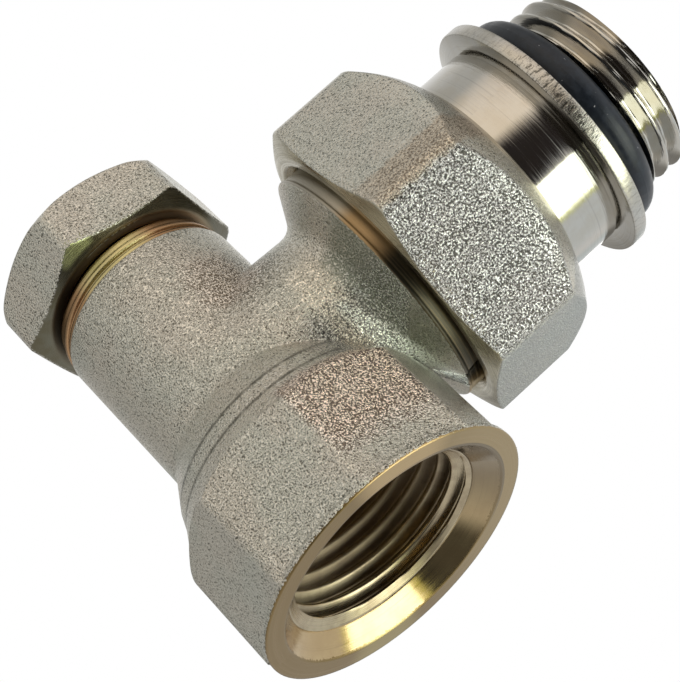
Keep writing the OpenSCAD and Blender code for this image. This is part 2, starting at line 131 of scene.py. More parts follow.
# painted shade and a painted reflection of the ring on the cap's inner edge, a painted glint and
# painted highlights on beads
CAP_INNER_SHADE, CAP_RING_REFLECTION = (0.14, 0.12, 0.085), (0.44, 0.34, 0.22)
CAP_GLINT, CAP_BEAD_HIGHLIGHT = (0.75, 0.80, 0.42), (0.95, 0.95, 0.88)
RUBBED = (0.62, 0.60, 0.54)

# Colours of the turned tail and of the turns in the socket
POLISHED, POLISHED_DULL = (0.456, 0.44, 0.404), (0.43, 0.405, 0.355)
CHATTER = (0.10, 0.095, 0.08)
TURNS, TURNS_DULL = (0.44, 0.37, 0.25), (0.30, 0.24, 0.16)
TURNS_ROOT, TURNS_DEEP = (0.17, 0.135, 0.09), (0.46, 0.37, 0.27)
DUST = (0.35, 0.36, 0.37)


def add_object(name, data):
    o = bpy.data.objects.new(name, data)
    bpy.context.scene.collection.objects.link(o)
    return o


def make_camera():
    data = bpy.data.cameras.new("camera")
    data.sensor_fit = "AUTO"
    data.sensor_width = SENSOR_MM
    data.lens = FOCAL_PX * SENSOR_MM / FRAME_PX
    data.clip_start, data.clip_end = CLIP_M
    cam = add_object("camera", data)
    turn = (AIM - EYE).to_track_quat("-Z", "Y") @ Quaternion((0, 0, 1), math.radians(ROLL))
    cam.matrix_world = Matrix.Translation(EYE * MM) @ turn.to_matrix().to_4x4()
    bpy.context.scene.camera = cam


class Tree:
    """Writes a node tree with one call a node. An input is a number, a colour, a vector or
    another node's output."""

    def __init__(self, tree):
        self.t = tree
        tree.nodes.clear()

    def put(self, socket, value):
        if isinstance(value, bpy.types.NodeSocket):
            self.t.links.new(value, socket)
        elif socket.type == "RGBA" and len(value) == 3:
            socket.default_value = tuple(value) + (1.0,)
        else:
            socket.default_value = value

    def n(self, kind, ins=None, out=0, **props):
        """Adds a node and gives back one of its outputs."""
        node = self.t.nodes.new(kind)
        for k, v in props.items():
            setattr(node, k, v)
        for k, v in (ins or {}).items():
            self.put(node.inputs[k], v)
        return node.outputs[out] if len(node.outputs) else node

    # Sums
    def math(self, op, a, b=0.0, c=0.0):
        return self.n("ShaderNodeMath", {0: a, 1: b, 2: c}, operation=op)

    def add(self, a, *more):
        for b in more:
            a = self.math("ADD", a, b)
        return a

    def sub(self, a, b):
        return self.math("SUBTRACT", a, b)

    def mul(self, a, *more):
        for b in more:
            a = self.math("MULTIPLY", a, b)
        return a

    def most(self, a, *more):
        for b in more:
            a = self.math("MAXIMUM", a, b)
        return a

    def below(self, x, limit):
        return self.math("LESS_THAN", x, limit)

    def above(self, x, limit):
        return self.math("GREATER_THAN", x, limit)

    def vec(self, op, a, b=None, out=0):
        ins = {0: a} if b is None else {0: a, 1: b}
        return self.n("ShaderNodeVectorMath", ins, out, operation=op)

    def join(self, x, y, z):
        return self.n("ShaderNodeCombineXYZ", {0: x, 1: y, 2: z})

    def split(self, p):
        node = self.t.nodes.new("ShaderNodeSeparateXYZ")
        self.t.links.new(p, node.inputs[0])
        return node.outputs[0], node.outputs[1], node.outputs[2]

    def ramp(self, x, lo, hi, a=0.0, b=1.0):
        """From a where x is lo, smoothly to b where it is hi."""
        return self.n("ShaderNodeMapRange", {0: x, 1: lo, 2: hi, 3: a, 4: b}, clamp=True,
                      interpolation_type="SMOOTHSTEP")

    # Mixes of colours, numbers and vectors: a where f is nought, b where it is one
    def mix(self, f, a, b):
        return self.n("ShaderNodeMix", {0: f, 6: a, 7: b}, 2, data_type="RGBA")

    def lerp(self, f, a, b):
        return self.n("ShaderNodeMix", {0: f, 2: a, 3: b})

    def blend(self, f, a, b):
        return self.n("ShaderNodeMix", {0: f, 4: a, 5: b}, 1, data_type="VECTOR")

    # Places on the surface: one there, nought elsewhere
    def arc(self, ang, centre, half, soft):
        """Within half degrees of a direction round an axis, fading over soft degrees."""
        c = self.math("COSINE", self.sub(ang, math.radians(centre)))
        return self.ramp(c, math.cos(math.radians(half + soft)), math.cos(math.radians(half)))

    def groove(self, x, at, half):
        return self.ramp(self.math("ABSOLUTE", self.sub(x, at)), half, 0.0)

    def helix(self, along, ang, pitch):
        """The roots of a right-hand thread."""
        turn = self.math("COSINE", self.sub(self.mul(along, TAU / pitch), ang))
        return self.ramp(turn, 0.7, -0.7)

    def ball(self, p, centre, reach, edge, noise):
        """Inside a ball round a centre, with an edge broken up by noise."""
        d = self.vec("DISTANCE", p, centre, out=1)
        return self.ramp(self.add(d, self.mul(self.sub(noise, 0.5), edge)), reach, reach - edge)

    def near_line(self, p, start, end, inner, outer):
        """Near the straight line through two points."""
        way = (Vector(end) - Vector(start)).normalized()
        off = self.vec("CROSS_PRODUCT", self.vec("SUBTRACT", p, start), tuple(way))
        return self.ramp(self.vec("LENGTH", off, out=1), outer, inner)

    # Surface
    def noise(self, p, scale, detail=2.0, rough=0.5):
        return self.n("ShaderNodeTexNoise", {"Vector": p, "Scale": scale, "Detail": detail,
                                             "Roughness": rough})

    def normal(self):
        return self.n("ShaderNodeNewGeometry", out=1)

    def bevel(self, radius):
        return self.n("ShaderNodeBevel", {"Radius": radius * MM}, samples=8)

    def bump(self, height, depth, normal):
        return self.n("ShaderNodeBump", {"Height": height, "Distance": depth * MM,
                                         "Normal": normal, "Strength": 1.0})

    def close(self, color, rough, normal, metal=1.0, gloss=0.5):
        shader = self.n("ShaderNodeBsdfPrincipled", {"Base Color": color, "Metallic": metal,
                                                     "Roughness": rough, "Normal": normal,
                                                     "Specular IOR Level": gloss})
        self.n("ShaderNodeOutputMaterial", {"Surface": shader})


def material(name):
    """A new material, its tree, and the object's own coordinates in mm."""
    m = bpy.data.materials.new(name)
    m.use_nodes = True
    t = Tree(m.node_tree)
    p = t.n("ShaderNodeVectorMath", {0: t.n("ShaderNodeTexCoord", out=3), "Scale": 1 / MM},
            operation="SCALE")
    return m, t, p


def polar(t, p, axis):
    """Radius, angle and station about the union's axis (X) or the barrel's (Z), in mm."""
    x, y, z = t.split(p)
    a, b, along = (y, t.sub(z, AX), x) if axis == "X" else (x, y, z)
    r = t.math("SQRT", t.add(t.mul(a, a), t.mul(b, b)))
    return r, t.math("ARCTAN2", b, a), along


def rounded_flats(t, r, ang, axis, n, across, first, radius):
    """Distance to the nearest flat's plane, how near a corner is, and the normal of a
    prism whose corners are rounded to a radius."""
    step = TAU / n
    shifted = t.math("ADD", ang, step / 2 - math.radians(first))
    rel = t.sub(t.math("FLOORED_MODULO", shifted, step), step / 2)
    h = t.mul(r, t.math("COSINE", rel))
    s = t.mul(r, t.math("SINE", rel))
    corner = across / 2 * math.tan(step / 2)
    start = corner - radius * math.tan(step / 2)
    near = t.n("ShaderNodeMapRange", {0: t.math("ABSOLUTE", s), 1: start, 2: corner})
    tilt = t.mul(near, t.math("SIGN", s), step / 2)
    a = t.add(t.sub(ang, rel), tilt)
    c, d = t.math("COSINE", a), t.math("SINE", a)
    local = t.join(0.0, c, d) if axis == "X" else t.join(c, d, 0.0)
    normal = t.n("ShaderNodeVectorTransform", {0: local}, vector_type="NORMAL",
                 convert_from="OBJECT", convert_to="WORLD")
    return h, near, normal


def lathe(t, r, ang, along, lines):
    """Fine turning lines round an axis."""
    v = t.join(t.mul(along, lines), t.mul(r, lines), t.mul(ang, 0.5))
    return t.noise(v, 1.0, 3.0, 0.65)


def skin(t, p, size, seed, coarse):
    """Blasted and plated forging: colour, roughness, height and the grain itself. size is
    the grain's in mm. coarse is one where the grain is coarse; its deep valleys get painted
    shade and its tips painted highlights."""
    q = t.vec("ADD", p, (seed, -seed, seed / 2))
    worm = t.noise(q, 0.9 / size, 2.0, 0.5)
    fine = t.noise(q, 2.2 / size, 1.0, 0.5)
    slow = t.noise(q, 0.14, 2.0, 0.55)
    color = t.mix(t.ramp(slow, 0.38, 0.62), NICKEL, NICKEL_WARM)
    color = t.mix(t.ramp(worm, 0.42, 0.37, 0.0, 0.9), color, NICKEL_PIT)
    color = t.mix(t.ramp(worm, 0.53, 0.62, 0.0, 0.4), color, NICKEL_TIP)
    # painted shade in the coarse grain's valleys and painted highlights on its tips
    deep = t.mix(t.ramp(worm, 0.44, 0.55), COARSE_GRAIN_SHADE, COARSE_GRAIN_HIGHLIGHT)
    color = t.mix(t.mul(coarse, 0.7), color, deep)
    rough = t.lerp(coarse, t.ramp(worm, 0.38, 0.62, 0.34, 0.26), 0.13)
    height = t.add(t.ramp(worm, 0.34, 0.66), t.mul(fine, 0.18))
    return color, rough, t.mul(height, t.add(0.78, t.mul(coarse, 0.9))), worm


def machined(t, line, color, tarnish, amount, lo, hi):
    """Turned metal: colour and roughness from its lines and a slow tarnish."""
    c = t.mix(t.ramp(amount, 0.35, 0.68), color, tarnish)
    c = t.mix(t.ramp(line, 0.42, 0.28, 0.0, 0.4), c, tuple(v * 0.55 for v in color))
    return c, t.ramp(line, 0.3, 0.7, lo, hi)


class Body:
    """What the layers of the body's material share: coordinates about the barrel (z) and
    the union (x), slow noises, the grain, and the places that are machined."""

    def __init__(self, t, p):
        self.p = p
        self.rz, self.az, self.z = polar(t, p, "Z")
        self.rx, self.ax, self.x = polar(t, p, "X")
        self.cloud = t.noise(p, 0.9, 3.0, 0.6)
        self.stain = t.noise(p, 0.3, 3.0, 0.6)
        # the brown flat of the socket
        self.front = t.mul(t.arc(self.az, -63, 20, 4),
                           t.ramp(t.add(self.z, t.mul(self.cloud, 3.0)), 2.0, 5.5),
                           t.ramp(self.z, 11.8, 10.6))
        crotch = t.mul(t.arc(self.ax, -120, 32, 14), t.ramp(self.x, 5.0, 10.0),
                       t.ramp(self.z, 10.6, 11.6))
        coarse = t.most(crotch, t.mul(self.front, 0.8))
        self.color, self.rough, self.height, self.worm = skin(t, p, BODY_GRAIN, 0.0, coarse)
        # the mouth's face, the cone and bores, the ring and gland, and the union's end
        ragged = t.mul(t.sub(self.worm, 0.5), 0.5)
        self.face = t.below(t.add(self.z, ragged), MOUTH + 0.15)
        self.inside = t.mul(t.below(self.rz, LEAD_IN_R + 0.3), t.below(self.z, BORE_TOP))
        self.ring = t.mul(t.above(self.z, BARREL_TOP + 0.03), t.below(self.rz, NECK_RING_R))
        self.gland = t.mul(t.below(self.rz, GLAND_R), t.above(self.z, GLAND_Z))
        self.union_end = t.above(t.add(self.x, t.mul(ragged, 0.4)), FLARE_X)


def body_turned(t, b, line):
    """Colour and roughness of the body's machined places."""
    c, rough = machined(t, line, BRASS, BRASS_DULL, b.stain, 0.10, 0.20)
    # the mouth: a duller face with painted highlights in three places, a cone with painted shade
    # towards the branch, a bore that turns brown deeper in
    face = t.mix(t.arc(b.az, 5, 25, 60), FACE, FACE_BRANCH_HIGHLIGHT)
    face = t.mix(t.arc(b.az, -70, 8, 16), face, FACE_FRONT_HIGHLIGHT)
    face = t.mix(t.arc(b.az, 112, 6, 14), face, FACE_BACK_HIGHLIGHT)
    c = t.mix(t.mul(b.face, 0.92), c, face)
    # painted shade on the cone towards the branch
    cone_shade = t.mul(t.arc(b.az, -12, 15, 55), b.inside, t.below(b.z, 2.0))
    c = t.mix(t.mul(cone_shade, 0.75), c, CONE_SHADE)
    c = t.mix(t.ramp(b.z, 2.0, 10.0, 0.0, t.mul(b.inside, 0.8)), c, BORE_BROWN)
    # the ring under the cap is copper, with a painted golden highlight on one side
    c = t.mix(t.mul(b.ring, 0.9), c, COPPER)
    c = t.mix(t.mul(b.ring, t.arc(b.az, -92, 10, 22)), c, RING_HIGHLIGHT)
    # the union's end: grey, then golden, then painted shade with turning lines where it lies
    # under the nut
    c = t.mix(t.mul(b.union_end, t.arc(b.ax, 190, 14, 12)), c, UNION_GOLD)
    c = t.mix(t.mul(b.union_end, t.arc(b.ax, 150, 24, 10)), c, UNION_GREY)
    # painted shade, streaked by the turning lines
    brown = t.mix(t.ramp(line, 0.45, 0.62), UNION_SHADE_LOW, UNION_SHADE_HIGH)
    c = t.mix(t.mul(b.union_end, t.arc(b.ax, 240, 32, 8)), c, brown)
    rough = t.add(rough, t.mul(b.face, 0.16), t.mul(b.ring, 0.08), t.mul(b.union_end, 0.20),
                  t.ramp(b.z, 2.0, 9.0, 0.0, t.mul(b.inside, 0.18)))
    return c, rough


def body_threads(t, b):
    """Roots and depth of the threads that the cap and the nut cover at rest."""
    neck = t.mul(t.above(b.z, CAP_Z - 0.5), t.below(b.rz, NECK_CREST), t.above(b.rz, NECK_ROOT))
    union = t.mul(t.above(b.x, NUT_X + 1.0), t.above(b.rx, UNION_ROOT))
    roots = t.add(t.mul(neck, t.helix(b.z, b.az, NECK_PITCH)),
                  t.mul(union, t.helix(b.x, b.ax, PITCH)))
    return roots, t.mul(t.add(t.mul(neck, 6.0), t.mul(union, 12.0)), roots)


def body_stains(t, b, color):
    """Painted shade in the creases, under the flare (tinted greenish) and between the barrel
    and the branch, a painted highlight along the hollow where the branch meets the socket,
    a cream tint on the branch, and brownish rust on the plating.
    """
    # painted shade along the two creases of the shoulder
    crease_shade = t.most(t.groove(b.z, CREASE_Z + 0.05, 0.36), t.groove(b.z, FOOT_Z - 0.05, 0.34))
    crease_shade = t.mul(crease_shade, t.below(b.x, 8.5), t.ramp(b.cloud, 0.35, 0.62, 0.5, 0.9))
    color = t.mix(crease_shade, color, CREASE_SHADE)
    # painted shade under the flare, tinted greenish
    green = t.mul(t.arc(b.ax, -145, 32, 12), t.ramp(t.add(b.x, b.cloud), 12.4, 14.4))
    color = t.mix(t.mul(green, t.ramp(b.worm, 0.62, 0.45, 0.35, 0.85)), color, NICKEL_GREEN_SHADE)
    warm = t.mul(t.arc(b.ax, -158, 26, 12), t.ramp(b.x, 8.5, 10.0), t.ramp(b.x, 13.2, 11.8))
    color = t.mix(t.mul(warm, t.ramp(b.worm, 0.40, 0.50, 0.1, 0.6)), color, NICKEL_CREAM)
    # a painted highlight along the hollow where the branch meets the socket, broken up by the
    # grain
    ridge_highlight = t.mul(t.near_line(b.p, (11.3, -8.0, 15.0), (15.0, -0.6, 8.7), 0.5, 1.5),
                  t.ramp(b.x, 10.4, 11.8), t.arc(b.ax, -115, 38, 10))
    color = t.mix(t.mul(ridge_highlight, t.ramp(b.worm, 0.40, 0.52, 0.1, 0.95)), color, NICKEL_HIGHLIGHT)
    shade = t.mul(t.ball(b.p, (7.2, -7.0, AX + 6.0), 6.0, 3.5, b.cloud),
                  t.ramp(b.worm, 0.58, 0.44))
    color = t.mix(t.mul(shade, 0.8), color, NICKEL_SHADE)
    side = t.ball(b.p, (5.6, -8.0, AX + 7.0), 5.0, 3.0, b.cloud)
    rust = t.mix(t.ramp(b.worm, 0.46, 0.54), RUST_LOW, RUST_HIGH)
    return t.mix(t.add(t.mul(b.front, 0.9), t.mul(side, 0.45)), color, rust)


def body_normal(t, b):
    """Corners of the eight flats are rounded by formula, and other edges softened."""
    h, near, flat = rounded_flats(t, b.rz, b.az, "Z", **SOCKET_FLATS)
    on_flat = t.mul(t.above(h, SOCKET_FLATS["across"] / 2 - FLAT_SLACK), t.below(b.z, FLATS_TOP),
                    t.above(b.z, MOUTH + MOUTH_EDGE), t.math("CEIL", near))
    return t.blend(on_flat, t.bevel(BODY_EDGE), flat)


def make_body():
    m, t, p = material("nickel_forging")
    b = Body(t, p)
    line = t.lerp(b.union_end, lathe(t, b.rz, b.az, b.z, CUT_LINES),
                  lathe(t, b.rx, b.ax, b.x, CUT_LINES))
    bright, rough = body_turned(t, b, line)
    roots, cut = body_threads(t, b)
    bright = t.mix(t.mul(roots, 0.5), bright, ROOT_BROWN)
    color = body_stains(t, b, b.color)
    # dark burrs where the mouth's face cuts the grain
    burr = t.mul(t.groove(b.z, MOUTH + 0.22, 0.2), t.above(b.rz, LEAD_IN_R + 0.4),
                 t.ramp(b.worm, 0.50, 0.42))
    color = t.mix(t.mul(burr, 0.85), color, BURR_DARK)
    turned = t.most(b.face, b.inside, b.ring, b.gland, b.union_end)
    height = t.sub(t.lerp(turned, b.height, t.mul(line, 0.11)), cut)
    t.close(t.mix(turned, color, bright), t.lerp(turned, b.rough, rough),
            t.bump(height, BODY_BUMP, body_normal(t, b)))
    return m


def nut_marks(t, p, color, worm, ang, x):
    """Painted shade on two of the nut's flats, greyer on one and greener on the other, and the
    brown band along one corner.
    """
    cloud = t.noise(p, 0.8, 3.0, 0.6)
    # painted shade on two flats
    color = t.mix(t.mul(t.arc(ang, 283.7, 28, 2), 0.6), color, NUT_FLAT_SHADE)
    color = t.mix(t.mul(t.arc(ang, 163.7, 28, 2), 0.2), color, NUT_GREEN_FLAT_SHADE)
    rust = t.mix(t.ramp(worm, 0.42, 0.50), NUT_RUST_LOW, NUT_RUST_HIGH)
    band = t.arc(t.add(ang, t.mul(cloud, 0.14)), 193.0, 4.5, 2.5)
    return t.mix(t.mul(band, t.ramp(x, NUT_X, NUT_X + 3.0, 0.4, 0.85)), color, rust)


def cap_marks(t, p, cut, rough, r, ang, z):
    """The cap's bevel: painted shade along its inner edge with a painted reflection of the
    ring on one side, a painted greenish glint at one corner, and beads of plating painted as
    bright highlights."""
    inner = t.mul(t.ramp(r, 10.2, 9.2), t.below(z, CAP_Z + 0.5))
    # painted shade on the inner edge, with a painted reflection of the ring on one side
    cut = t.mix(inner, cut, t.mix(t.arc(ang, -55, 35, 40), CAP_INNER_SHADE, CAP_RING_REFLECTION))
    glint = t.mul(t.arc(ang, -103, 5, 7), t.ramp(r, 10.2, 10.8))
    cut = t.mix(t.mul(glint, 0.8), cut, CAP_GLINT)
    # beads of plating, painted as bright highlights
    beads = t.mul(t.groove(r, 9.6, 0.14), t.arc(ang, -84, 14, 6),
                  t.ramp(t.noise(p, 3.2, 0.0, 0.5), 0.50, 0.54))
    return t.mix(beads, cut, CAP_BEAD_HIGHLIGHT), t.lerp(inner, rough, 0.5)


# The two forged hexagons. over is the radius that their corners are turned to, dome the
# station where the far end begins. The bore is machined up to bore_end.
HEXAGONS = {
    "nut": dict(name="nickel_nut", seed=31.0, size=0.155, axis="X", flats=NUT_FLATS,
                over=17.4, near_end=NUT_X, dome=NUT_X + 8.5, bore_r=12.9,
                bore_end=NUT_X + 20.0, bare=(0.52, 0.48, 0.37), worn=(0.36, 0.33, 0.24)),
    # the cap's cut colours are near black: painted shade on its machined near end
    "cap": dict(name="nickel_cap", seed=57.0, size=0.165, axis="Z", flats=CAP_FLATS,
                over=11.9, near_end=CAP_Z, dome=CAP_Z + 5.5, bore_r=8.4,
                bore_end=CAP_END - 1.0, bare=(0.125, 0.12, 0.09), worn=(0.10, 0.088, 0.055)),
}


def make_hexagon(name, seed, size, axis, flats, over, near_end, dome, bore_r, bore_end, bare,
                 worn):
    """A forged hexagon: blasted flats and far end, machined near end and bore."""
    m, t, p = material(name)
    is_nut = name == "nickel_nut"
    r, ang, along = polar(t, p, axis)
    h, near, flat = rounded_flats(t, r, ang, axis, **flats)
    # one flat of the nut is far coarser than the rest
    coarse = t.mul(t.arc(ang, 224.5, 29, 2), t.ramp(h, 14.8, 15.2)) if is_nut else 0.0
    color, rough, height, worm = skin(t, p, size, seed, coarse)
    ragged = t.mul(t.sub(worm, 0.5), 0.35)
    rim = t.most(t.sub(h, flats["across"] / 2 - FLAT_SLACK), t.sub(r, over - FLAT_SLACK))
    blasted = t.above(t.add(rim, ragged), 0.0)
    at_bevel = t.below(along, near_end + BEVEL_WIDE)
    smooth = t.most(t.mul(t.sub(1.0, blasted), at_bevel),
                    t.mul(t.below(r, bore_r), t.below(along, bore_end)))
    line = lathe(t, r, ang, along, CUT_LINES)
    cut, rough_cut = machined(t, line, bare, worn, t.noise(p, 0.35, 3.0, 0.6), 0.18, 0.32)
    if is_nut:
        color = nut_marks(t, p, color, worm, ang, along)
    else:
        cut, rough_cut = cap_marks(t, p, cut, rough_cut, r, ang, along)
    color = t.mix(smooth, color, cut)
    # the plating is rubbed bright along the edge where the bevel cuts the flats
    rubbed = t.mul(t.ramp(t.math("ABSOLUTE", t.add(rim, 0.05)), 0.12, 0.0), at_bevel,
                   t.ramp(worm, 0.45, 0.6))
    color = t.mix(t.mul(rubbed, 0.6), color, RUBBED)
    softer = t.ramp(along, dome, dome + 2.5, 1.0, 0.55)
    height = t.lerp(smooth, t.mul(height, softer), t.mul(line, 0.08))
    at_corner = t.mul(t.above(rim, 0.0), t.math("CEIL", near))
    normal = t.blend(at_corner, t.bevel(HEX_EDGE), flat)
    t.close(color, t.lerp(smooth, rough, rough_cut), t.bump(height, size * HEX_BUMP, normal))
    return m


def make_tail():
    m, t, p = material("turned_nickel")
    r, ang, x = polar(t, p, "X")
    line = lathe(t, r, ang, x, THREAD_LINES)
    stain = t.noise(p, 0.4, 3.0, 0.6)
    color, rough = machined(t, line, POLISHED, POLISHED_DULL, stain, 0.05, 0.09)
    # chatter marks across the collar's rim
    rim = t.mul(t.above(r, COLLAR_R - 0.2), t.above(x, RING_X - 2.0), t.below(x, RING_X + 0.1))
    marks = t.noise(t.join(t.mul(x, 1.3), t.mul(ang, 38.0), 0.0), 1.0, 4.0, 0.75)
    deep = t.add(0.25, t.mul(t.arc(ang, -158, 14, 16), 0.7))
    color = t.mix(t.mul(rim, deep, t.ramp(marks, 0.5, 0.4)), color, CHATTER)
    height = t.lerp(rim, line, t.mul(marks, deep, 4.4))
    t.close(color, t.lerp(rim, rough, 0.24), t.bump(height, 0.016, t.normal()))
    return m


def make_socket_thread():
    m, t, p = material("socket_thread_brass")
    r, ang, z = polar(t, p, "Z")
    line = lathe(t, r, ang, z, THREAD_LINES)
    stain = t.noise(p, 0.4, 3.0, 0.6)
    c, rough = machined(t, line, TURNS, TURNS_DULL, stain, 0.24, 0.34)
    # the roots are darker than the crests, and the deeper turns are greyer and rougher
    c = t.mix(t.ramp(r, G_MAJOR - G_DEPTH, G_MAJOR - 0.2, 0.0, 0.12), c, TURNS_ROOT)
    c = t.mix(t.ramp(z, 2.5, 8.0, 0.0, 0.7), c, TURNS_DEEP)
    rough = t.add(rough, t.ramp(z, 1.5, 6.0, 0.0, 0.42))
    t.close(c, rough, t.bump(line, 0.010, t.normal()))
    return m


def make_turned(name, color, tarnish, axis, lo, hi):
    m, t, p = material(name)
    r, ang, along = polar(t, p, axis)
    line = lathe(t, r, ang, along, CUT_LINES)
    c, rough = machined(t, line, color, tarnish, t.noise(p, 0.45, 3.0, 0.6), lo, hi)
    t.close(c, rough, t.bump(line, 0.010, t.normal()))
    return m


def make_rubber(name, color, rough):
    m, t, p = material(name)
    slow = t.noise(p, 1.4, 3.0, 0.6)
    fine = t.noise(p, 8.0, 2.0, 0.5)
    dust = t.ramp(t.noise(t.vec("ADD", p, (40.0, 7.0, 3.0)), 3.0, 1.0, 0.5), 0.76, 0.80)
    c = t.mix(t.ramp(slow, 0.35, 0.7), color, tuple(v * 1.6 + 0.002 for v in color))
    c = t.mix(dust, c, DUST)
    rough = t.add(t.ramp(slow, 0.3, 0.7, rough - 0.05, rough + 0.06), t.mul(fine, 0.06))
    height = t.add(slow, t.mul(fine, 0.35))
    t.close(c, rough, t.bump(height, 0.012, t.normal()), 0.0, 0.3)
    return m


def make_fibre(name, color):
    m, t, p = material(name)
    layers = t.noise(t.vec("MULTIPLY", p, (6.0, 6.0, 1.2)), 1.0, 4.0, 0.7)
    c = t.mix(t.ramp(layers, 0.35, 0.7), color, tuple(v * 0.6 for v in color))
    rough = t.ramp(layers, 0.3, 0.7, 0.62, 0.8)
    t.close(c, rough, t.bump(layers, 0.03, t.normal()), 0.0)
    return m


# Small turned pieces: colour, tarnish, axis, and lowest and highest roughness
TURNED = {
    "brass": ("bare_brass", BRASS, (0.38, 0.28, 0.15), "Z", 0.16, 0.28),
    "steel": ("steel_wire", (0.50, 0.50, 0.51), (0.42, 0.41, 0.40), "Z", 0.22, 0.34),
    "bronze": ("spring_bronze", (0.50, 0.39, 0.23), (0.40, 0.31, 0.19), "X", 0.22, 0.34),
}
RUBBER = {
    "rubber": ("black_rubber", (0.006, 0.009, 0.014), 0.33),
    "seat": ("seat_rubber", (0.018, 0.018, 0.020), 0.52),
}
WEARS = {
    "body": ["valve_body"],
    "cap": ["lockshield_cap"],
    "nut": ["union_nut"],
    "tail": ["tailpiece"],
    "fibre": ["cap_gasket"],
    "brass": ["regulating_spindle", "disc_washer", "disc_screw"],
    "steel": ["stop_ring"],
    "bronze": ["nut_split_ring"],
    "seat": ["seat_disc"],
    "rubber": ["spindle_ring_lower", "spindle_ring_upper", "tail_ring", "radiator_ring"],
}


def dress():
    """Makes the materials and gives each node its own."""
    made = {"body": make_body(), "tail": make_tail(), "thread": make_socket_thread(),
            "fibre": make_fibre("red_fibre", (0.36, 0.075, 0.05))}
    for key, form in HEXAGONS.items():
        made[key] = make_hexagon(**form)
    for key, look in TURNED.items():
        made[key] = make_turned(*look)
    for key, look in RUBBER.items():
        made[key] = make_rubber(*look)
    for key, names in WEARS.items():
        for name in names:
            slots = nodes[name].data.materials
            slots.clear()
            slots.append(made[key])
    return made


def circle(at, radius, seg, axis="X"):
    """A ring of points in mm round the union's axis (X) or the barrel's (Z). The radius is
    a number, or a function of the point's number."""
    ring = []
    for i in range(seg):
        r = radius(i) if callable(radius) else radius
        c, s = r * math.cos(TAU * i / seg), r * math.sin(TAU * i / seg)
        ring.append((at, c, AX + s) if axis == "X" else (c, s, at))
    return ring


def sleeve(name, rings, mat, sharp):
    """A closed mesh of revolution from rings of points, the last joined to the first."""
    bm = bmesh.new()
    rows = [[bm.verts.new(Vector(q) * MM) for q in ring] for ring in rings]
    seg = len(rows[0])
    for j, a in enumerate(rows):
        b = rows[(j + 1) % len(rows)]
        for i in range(seg):
            k = (i + 1) % seg
            bm.faces.new((a[i], a[k], b[k], b[i]))
    bmesh.ops.recalc_face_normals(bm, faces=bm.faces)
    for f in bm.faces:
        f.smooth = True
    for e in bm.edges:
        e.smooth = e.calc_face_angle() < math.radians(sharp)
    mesh = bpy.data.meshes.new(name)
    bm.to_mesh(mesh)
    bm.free()
    mesh.materials.append(mat)
    return add_object(name, mesh)


def pipe_thread(u, depth, flat=0.10):
    """Height 0..depth of a rounded 55 degree thread at phase u of its pitch, crest at 0."""
    u = abs((u + 0.5) % 1.0 - 0.5) * 2.0
    s = min(max((u - flat) / (1 - 2 * flat), 0.0), 1.0)
    s = s * 0.72 + (1 - math.cos(math.pi * s)) / 2 * 0.28
    return depth * (1 - s)


# The turned tail in mm: radii and widths, as in the source
SPIGOT_R, BARREL_R, COLLAR_R = 10.52, 11.4, 13.5
ENTRY_R, ENTRY_DEPTH = 8.5, 2.5
SEAL_AT, SEAL_WIDE, SEAL_R = 1.05, 1.8, 8.96
SHOULDER_AT = 4.68
SPLIT_AT, SPLIT_HALF, SPLIT_R = 9.33, 0.85, 10.65
COLLAR_WIDE, RELIEF_WIDE, RELIEF_DEEP = 1.5, 0.35, 0.5
KEY_HALF, KEY_DEPTH, BORE_R = 6.2, 9.0, 6.0
TIP_R, TIP_CHAMFER, KEY_CHAMFER = 9.55, 0.7, 0.35
# The rings of the threads: their step in mm, points a ring, and the gap at a sharp end
THREAD_STEP, TAIL_SEG, SOCKET_SEG, END_GAP = 0.085, 144, 160, 0.02
# The tail's thread: distance past the collar and phase, and how fast it comes up
THREAD_GAP, TAIL_PHASE, THREAD_RISE = 3.2, 0.30, 3.2
# The socket's thread: its two ends, its phase, how fast it comes up at each end, how far
# its roots stand in from the bore, and how far its back lies in the metal
SOCKET_FROM, SOCKET_TO, SOCKET_PHASE = 0.02, 10.28, 0.15
RISE_FROM, RISE_TO = 1.6, 1.2
SOCKET_INSET, SOCKET_SUNK = 0.03, 0.35
# Edges that bend by more than this many degrees stay sharp
TAIL_SHARP, SOCKET_SHARP = 28, 50


def tail_profile():
    """Stations and radii from the spigot to the groove of the ring, in mm."""
    seal, shoulder, split = TAIL_X + SEAL_AT, TAIL_X + SHOULDER_AT, NUT_X + SPLIT_AT
    near, far = RING_X - COLLAR_WIDE, RING_X
    relief = near - RELIEF_WIDE
    groove = RING_R - (RING_END - RING_X)
    return [(TAIL_X, ENTRY_R), (TAIL_X, SPIGOT_R - 0.47), (TAIL_X + 0.5, SPIGOT_R),
            (seal, SPIGOT_R), (seal, SEAL_R), (seal + SEAL_WIDE, SEAL_R),
            (seal + SEAL_WIDE, SPIGOT_R), (shoulder, SPIGOT_R), (shoulder, BARREL_R - 0.2),
            (shoulder + 0.2, BARREL_R), (split - SPLIT_HALF, BARREL_R),
            (split - SPLIT_HALF, SPLIT_R), (split + SPLIT_HALF, SPLIT_R),
            (split + SPLIT_HALF, BARREL_R), (near - 0.6, BARREL_R),
            (near - 0.42, BARREL_R - 0.04), (relief, BARREL_R - 0.18),
            (relief, BARREL_R - RELIEF_DEEP), (near, BARREL_R - RELIEF_DEEP),
            (near, COLLAR_R - 0.2), (near + 0.06, COLLAR_R - 0.06), (near + 0.2, COLLAR_R),
            (far - 0.2, COLLAR_R), (far - 0.06, COLLAR_R - 0.06), (far, COLLAR_R - 0.2),
            (far, groove), (RING_END + END_GAP, groove)]


